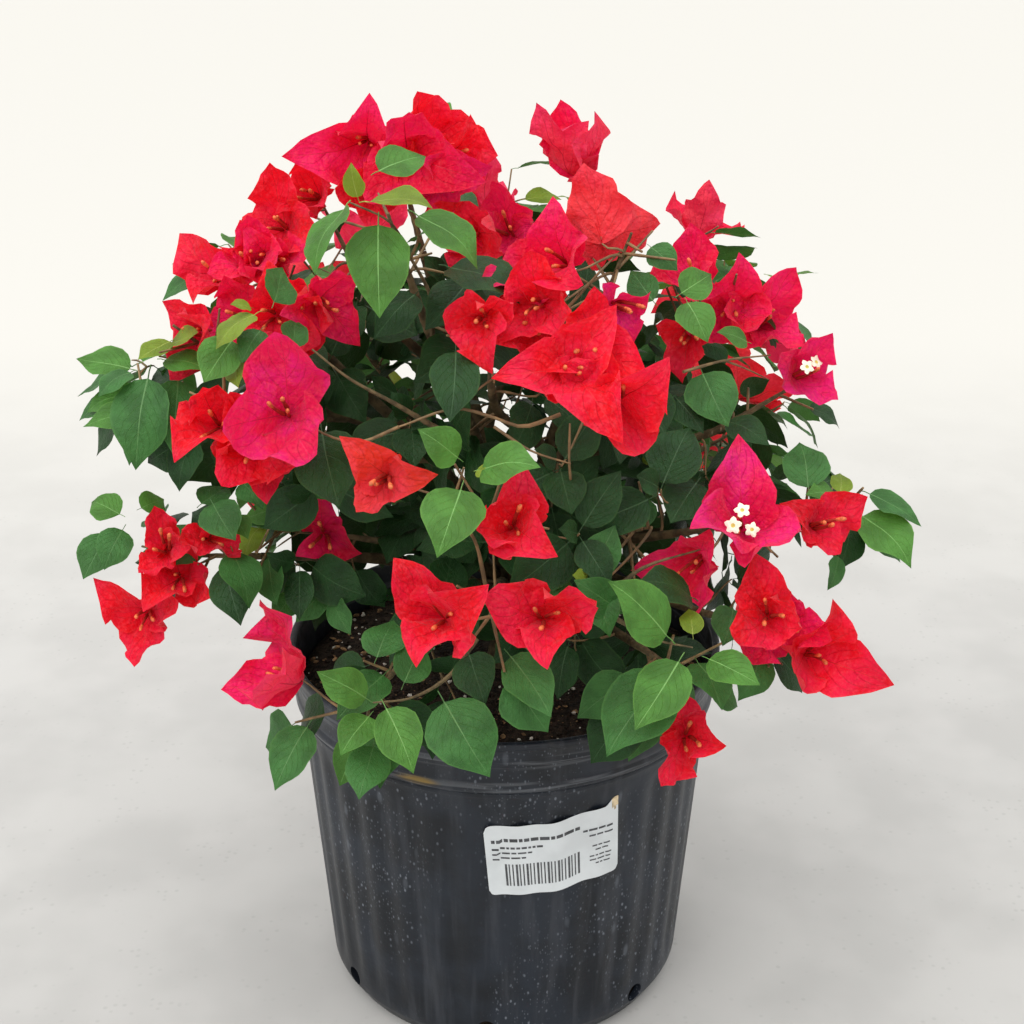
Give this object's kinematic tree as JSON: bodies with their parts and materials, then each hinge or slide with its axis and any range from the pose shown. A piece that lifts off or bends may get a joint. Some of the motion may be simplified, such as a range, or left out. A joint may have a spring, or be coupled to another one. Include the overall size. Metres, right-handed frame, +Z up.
{
  "type": "bougainvillea bush",
  "caption": "Flowering bougainvillea bush with a rounded crown of red papery blooms and green leaves on woody boughs, standing in a ribbed black nursery pot.",
  "frame": {"origin": "middle of the pot's flat underside", "axes": "+Z up, -Y towards the front of the bush, where the label is, and +X to its right"},
  "size_m": [0.5095, 0.4696, 0.5837],
  "materials": {
    "pot": "dusty blue-black moulded plastic with a soft sheen",
    "soil": "dark crumbly bark and peat mix with pale grains",
    "label": "smooth white coated paper, blank",
    "bark": "grey-brown ridged bark",
    "foliage": "smooth satin green leaves",
    "blossom": "thin crinkled papery red bracts"
  },
  "bodies": {
    "root": {"pot": "pot", "soil": "soil", "label": "label", "trunk": "bark", "bough_crest_left": "bark", "bough_crest_right": "bark", "bough_crest_back": "bark", "bough_leader_left": "bark", "bough_shoulder_high": "bark", "bough_shoulder_left": "bark", "bough_flank_left": "bark", "bough_far_left": "bark", "bough_front_left": "bark", "bough_low_left": "bark", "bough_upper_right": "bark", "bough_middle_front": "bark", "bough_heart_front": "bark", "bough_upper_flank_right": "bark", "bough_far_right": "bark", "bough_low_right": "bark", "bough_tip_right": "bark", "bough_under_right": "bark", "bough_rim_right": "bark", "bough_front_middle": "bark", "bough_front_low": "bark", "bough_rim_left": "bark", "bough_back_right": "bark", "bough_back_left": "bark", "bough_low_back_right": "bark", "bough_low_back_left": "bark", "bough_inner_left": "bark", "bough_inner_right": "bark", "mass_crest_left": "blossom", "mass_crest_right": "blossom", "mass_crest_back": "blossom", "mass_leader_left": "foliage", "mass_shoulder_high": "blossom", "mass_shoulder_left": "blossom", "mass_flank_left": "blossom", "mass_far_left": "foliage", "mass_front_left": "blossom", "mass_low_left": "blossom", "mass_upper_right": "blossom", "mass_middle_front": "blossom", "mass_heart_front": "blossom", "mass_upper_flank_right": "blossom", "mass_far_right": "blossom", "mass_low_right": "blossom", "mass_tip_right": "foliage", "mass_under_right": "blossom", "mass_rim_right": "blossom", "mass_front_middle": "blossom", "mass_front_low": "blossom", "mass_rim_left": "blossom", "mass_back_right": "blossom", "mass_back_left": "blossom", "mass_low_back_right": "blossom", "mass_low_back_left": "blossom", "mass_inner_left": "blossom", "mass_inner_right": "foliage"}
  },
  "joints": []
}
